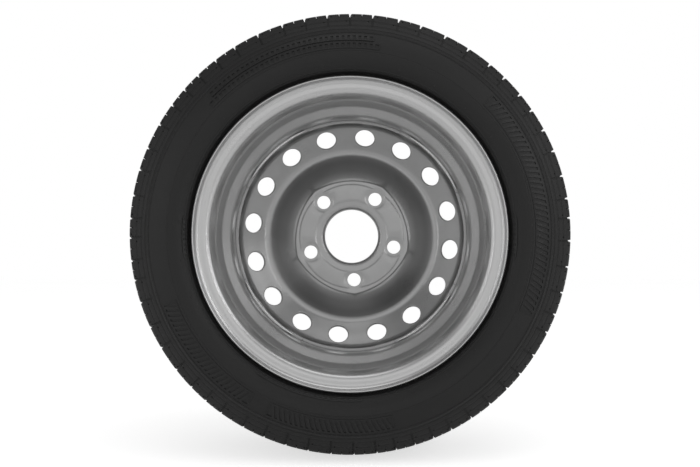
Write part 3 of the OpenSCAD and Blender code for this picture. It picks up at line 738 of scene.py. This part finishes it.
def tread_cutters():
    edges = pitch_edges()
    widths = [b - a for a, b in zip(edges, edges[1:])]
    middles = [a + w * 0.5 for a, w in zip(edges, widths)]
    cuts = cut_tree()
    made = []
    for side in (-1, 1):
        made.append(grown("shoulder_cuts", {"turn": middles}, cuts, {
            "Width": SLOT_WIDTH, "Length": 34 * MM, "Depth": SLAB_DEPTH, "Place": side * 62.5 * MM,
            "Floor": 252.3 * MM, "Lean": side * math.radians(-13), "Slant": 0.0, "Material": rubber}))
        for shift, place in RIB_SLOTS:
            turns = [a + w * shift for a, w in zip(edges, widths)]
            made.append(grown("rib_cuts", {"turn": turns}, cuts, {
                "Width": SLOT_WIDTH, "Length": 9 * MM, "Depth": SLAB_DEPTH, "Place": side * place,
                "Floor": 257 * MM, "Lean": 0.0, "Slant": math.radians(side * 24), "Material": rubber}))
    made.append(grown("middle_cuts", {"turn": middles}, cuts, {
        "Width": SLOT_WIDTH, "Length": 11 * MM, "Depth": SLAB_DEPTH, "Place": 0.0,
        "Floor": 257.5 * MM, "Lean": 0.0, "Slant": math.radians(-30), "Material": rubber}))
    return made


def vent_pits():
    """Two small pits in the side of each shoulder block."""
    edges = pitch_edges()
    turns, radii, heights = [], [], []
    for side in (-1, 1):
        for share, radius in PIT_PLACES:
            for a, b in zip(edges, edges[1:]):
                turn = a + (b - a) * (share if side < 0 else 1 - share)
                turns.append(turn)
                radii.append(radius)
                heights.append(wall_height(radius, turn, side))
    columns = {"turn": turns, "radius": radii, "height": heights}
    return grown("vent_pits", columns, pin_tree(), {
        "Radius": 0.95 * MM, "Depth": 1.6 * MM, "Material": rubber})


def dressed_tyre():
    cutters = joined("cutters", tread_cutters() + [vent_pits()])
    mesh = cut_out(joined_mesh("tyre", "tyre_moulding"), cutters)
    mesh.name = "tyre_moulding"
    soften(mesh, 28)
    finish_piece(new_piece("tyre_moulding", mesh), rubber, "tyre_rubber", "wheel", "tyre")


dressed_tyre()


# Sidewall relief: ribbed panels laid on the rubber, drawn flat and then dropped on the wall

def panel_tree():
    """In the flat drawing, x is a turn, z a radius and y the height over the rubber."""
    group, tree, entry = shape_tree("ribbed_panel", {
        "Tyre": "Object", "Side": "Float", "Reach": "Float", "From": "Float", "To": "Float",
        "Inner": "Float", "Outer": "Float", "Ribs": "Int", "Rib": "Float", "Slant": "Float", "Border": "Float",
        "Height": "Float", "Sink": "Float", "Material": "Material"})
    inner, outer, thick = entry["Inner"], entry["Outer"], entry["Height"] + entry["Sink"]
    middle, deep = (inner + outer) / 2, outer - inner
    span, centre = entry["To"] - entry["From"], (entry["From"] + entry["To"]) / 2
    lift = (entry["Height"] - entry["Sink"]) / 2
    rib_turn = entry["Rib"] / middle
    step = span / (entry["Ribs"] + 1)

    def bar(width, depth, across, along):
        return tree.node("GeometryNodeMeshCube", {}, {
            "Size": combine(tree, width, thick, depth), "Vertices X": across, "Vertices Z": along})["Mesh"]

    def shifted(shape, x, z):
        return tree.node("GeometryNodeTransform", {}, {
            "Geometry": shape, "Translation": combine(tree, x, lift, z)})["Geometry"]

    points = tree.node("GeometryNodeMeshLine", {}, {
        "Count": entry["Ribs"], "Start Location": combine(tree, entry["From"] + step, lift, middle),
        "Offset": combine(tree, step, 0.0, 0.0)})["Mesh"]
    x, y, z = split(tree, tree.node("GeometryNodeInputPosition")["Position"])
    slanted = moved_to(tree, bar(rib_turn, deep, 2, 5), combine(tree, x + z / deep * entry["Slant"], y, z))
    ribs = tree.node("GeometryNodeInstanceOnPoints", {}, {"Points": points, "Instance": slanted})
    long_bar = bar(span, entry["Border"], 48, 2)
    end_bar = bar(entry["Border"] / middle, deep, 2, 5)
    flat = tree.node("GeometryNodeJoinGeometry", {}, {"Geometry": [
        ribs["Instances"],
        shifted(long_bar, centre, inner), shifted(long_bar, centre, outer),
        shifted(end_bar, entry["From"], middle), shifted(end_bar, entry["To"], middle)]})["Geometry"]
    flat = tree.node("GeometryNodeRealizeInstances", {}, {"Geometry": flat})["Geometry"]
    wall = tree.node("GeometryNodeObjectInfo", {}, {"Object": entry["Tyre"]})["Geometry"]
    away = combine(tree, x.sin() * z, entry["Side"] * BESIDE_TYRE, x.cos() * z)
    hit = tree.node("GeometryNodeRaycast", {}, {
        "Target Geometry": wall, "Source Position": away,
        "Ray Direction": combine(tree, 0.0, 0 - entry["Side"], 0.0), "Ray Length": 0.3})
    found = split(tree, hit["Hit Position"])
    height = tree.node("ShaderNodeMath", {"operation": "MINIMUM"}, {
        0: found[1] * entry["Side"] + y, 1: entry["Reach"]})[0]
    laid = combine(tree, x.sin() * z, height * entry["Side"], x.cos() * z)
    close_tree(tree, moved_to(tree, flat, laid), entry["Material"])
    return group


# From turn and to turn in degrees, inner and outer radius in millimetres, slant of the ribs in degrees
PANELS = [
    (46, 114, 209.5, 225, 1.6),
    (167, 205, 209.5, 225, -1.6),
    (211, 249, 209.5, 225, 1.6),
    (313, 369, 209.5, 215.5, 0.0),
    (315, 367, 219, 224.5, 0.0),
    (176, 214, 184, 188.5, 0.0),
    (262, 276, 184, 188.5, 0.0),
    (84, 98, 184, 188.5, 0.0),
]
# Distance between ribs, in millimetres
RIB_STEP = 6.4
# The relief ends just inside the widest place of the tyre
RELIEF_REACH = 98.25 * MM
# Radius in millimetres, number of stubs and turn of the first one in degrees
STUB_RINGS = ((192.5, 28, 4), (227.5, 28, 10))


def sidewall_panels(side):
    """The panels of one sidewall, as separate meshes."""
    group = panel_tree()
    made = []
    for start, end, inner, outer, slant in PANELS:
        ribs = round(math.radians(end - start) * (inner + outer) / 2 / RIB_STEP)
        made.append(grown("panel", {}, group, {
            "Tyre": frame["nodes"]["tyre"], "Side": float(side), "Reach": RELIEF_REACH,
            "From": math.radians(start), "To": math.radians(end),
            "Inner": inner * MM, "Outer": outer * MM, "Ribs": ribs, "Rib": 3.2 * MM,
            "Slant": math.radians(slant), "Border": 1.2 * MM, "Height": 0.8 * MM, "Sink": 0.4 * MM,
            "Material": raised_rubber}))
    return made


def vent_stubs(side):
    """Trimmed stubs of the vents in two rings round the sidewall."""
    turns, radii, heights = [], [], []
    for radius, count, first in STUB_RINGS:
        for i in range(count):
            turns.append(math.radians(first + 360 / count * i))
            radii.append(radius * MM)
            heights.append(wall_height(radii[-1], turns[-1], side))
    columns = {"turn": turns, "radius": radii, "height": heights}
    return grown("vent_stubs", columns, pin_tree(), {
        "Radius": 0.9 * MM, "Depth": 0.35 * MM, "Material": raised_rubber})


def sidewall_relief():
    mesh = joined("sidewall_relief", [
        mesh for side in (-1, 1) for mesh in sidewall_panels(side) + [vent_stubs(side)]])
    soften(mesh, 28, outwards=True)
    finish_piece(new_piece("sidewall_relief", mesh), raised_rubber, "tyre_rubber", "wheel")


sidewall_relief()


# Valve stem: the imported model's plain cylinder gets a screw thread of the same outer size

def joint_named(name):
    return next(joint for joint in frame["joints"] if joint["name"] == name)


def valve_frame():
    """Matrix from the valve's own coordinates, with z along it from its tip, to the wheel's."""
    joint = joint_named("cap_turn")
    turned = Vector(joint["axis"]).to_track_quat("Z", "Y").to_matrix().to_4x4()
    return Matrix.Translation(joint["pos_m"]) @ turned


THREAD_RADIUS = 3.85 * MM
THREAD_DEPTH = 0.42 * MM
THREAD_PITCH = 0.794 * MM
THREAD_TURNS = 16
# Distance from the valve's tip to the end of its thread
THREAD_START = 0.7 * MM
# Vertices this near the thread's radius belong to the plain cylinder that it replaces
NEAR_THREAD = 0.05 * MM


def thread_tree():
    group, tree, entry = shape_tree("screw_thread", {
        "Radius": "Float", "Depth": "Float", "Pitch": "Float", "Turns": "Float", "Material": "Material"})
    spiral = tree.node("GeometryNodeCurveSpiral", {}, {
        "Resolution": 36, "Rotations": entry["Turns"], "Start Radius": entry["Radius"] - entry["Depth"],
        "End Radius": entry["Radius"] - entry["Depth"], "Height": entry["Pitch"] * entry["Turns"]})["Curve"]
    section = tree.node("GeometryNodeCurvePrimitiveCircle", {}, {"Resolution": 4, "Radius": 1.0})
    ridge = tree.node("GeometryNodeCurveToMesh", {}, {
        "Curve": spiral, "Profile Curve": section["Curve"], "Fill Caps": True,
        "Scale": entry["Depth"]})["Mesh"]
    close_tree(tree, ridge, entry["Material"])
    return group


def threaded_stem():
    to_wheel = valve_frame()
    from_wheel = to_wheel.inverted()
    core = joined_mesh("valve_stem", "stem_core")
    for vertex in core.vertices:
        own = from_wheel @ vertex.co
        radius = math.hypot(own.x, own.y)
        if abs(radius - THREAD_RADIUS) < NEAR_THREAD:
            thin = (THREAD_RADIUS - THREAD_DEPTH) / radius
            vertex.co = to_wheel @ Vector((own.x * thin, own.y * thin, own.z))
    thread = grown("thread", {}, thread_tree(), {
        "Radius": THREAD_RADIUS, "Depth": THREAD_DEPTH, "Pitch": THREAD_PITCH,
        "Turns": float(THREAD_TURNS), "Material": brass})
    bottom = -THREAD_PITCH * THREAD_TURNS - THREAD_START
    thread.transform(to_wheel @ Matrix.Translation((0, 0, bottom)))
    mesh = joined("threaded_stem", [core, thread])
    soften(mesh, 30, outwards=True)
    finish_piece(new_piece("threaded_stem", mesh), brass, "brass", "wheel", "valve_stem")


threaded_stem()


bpy.context.scene.view_settings.view_transform = "Standard"
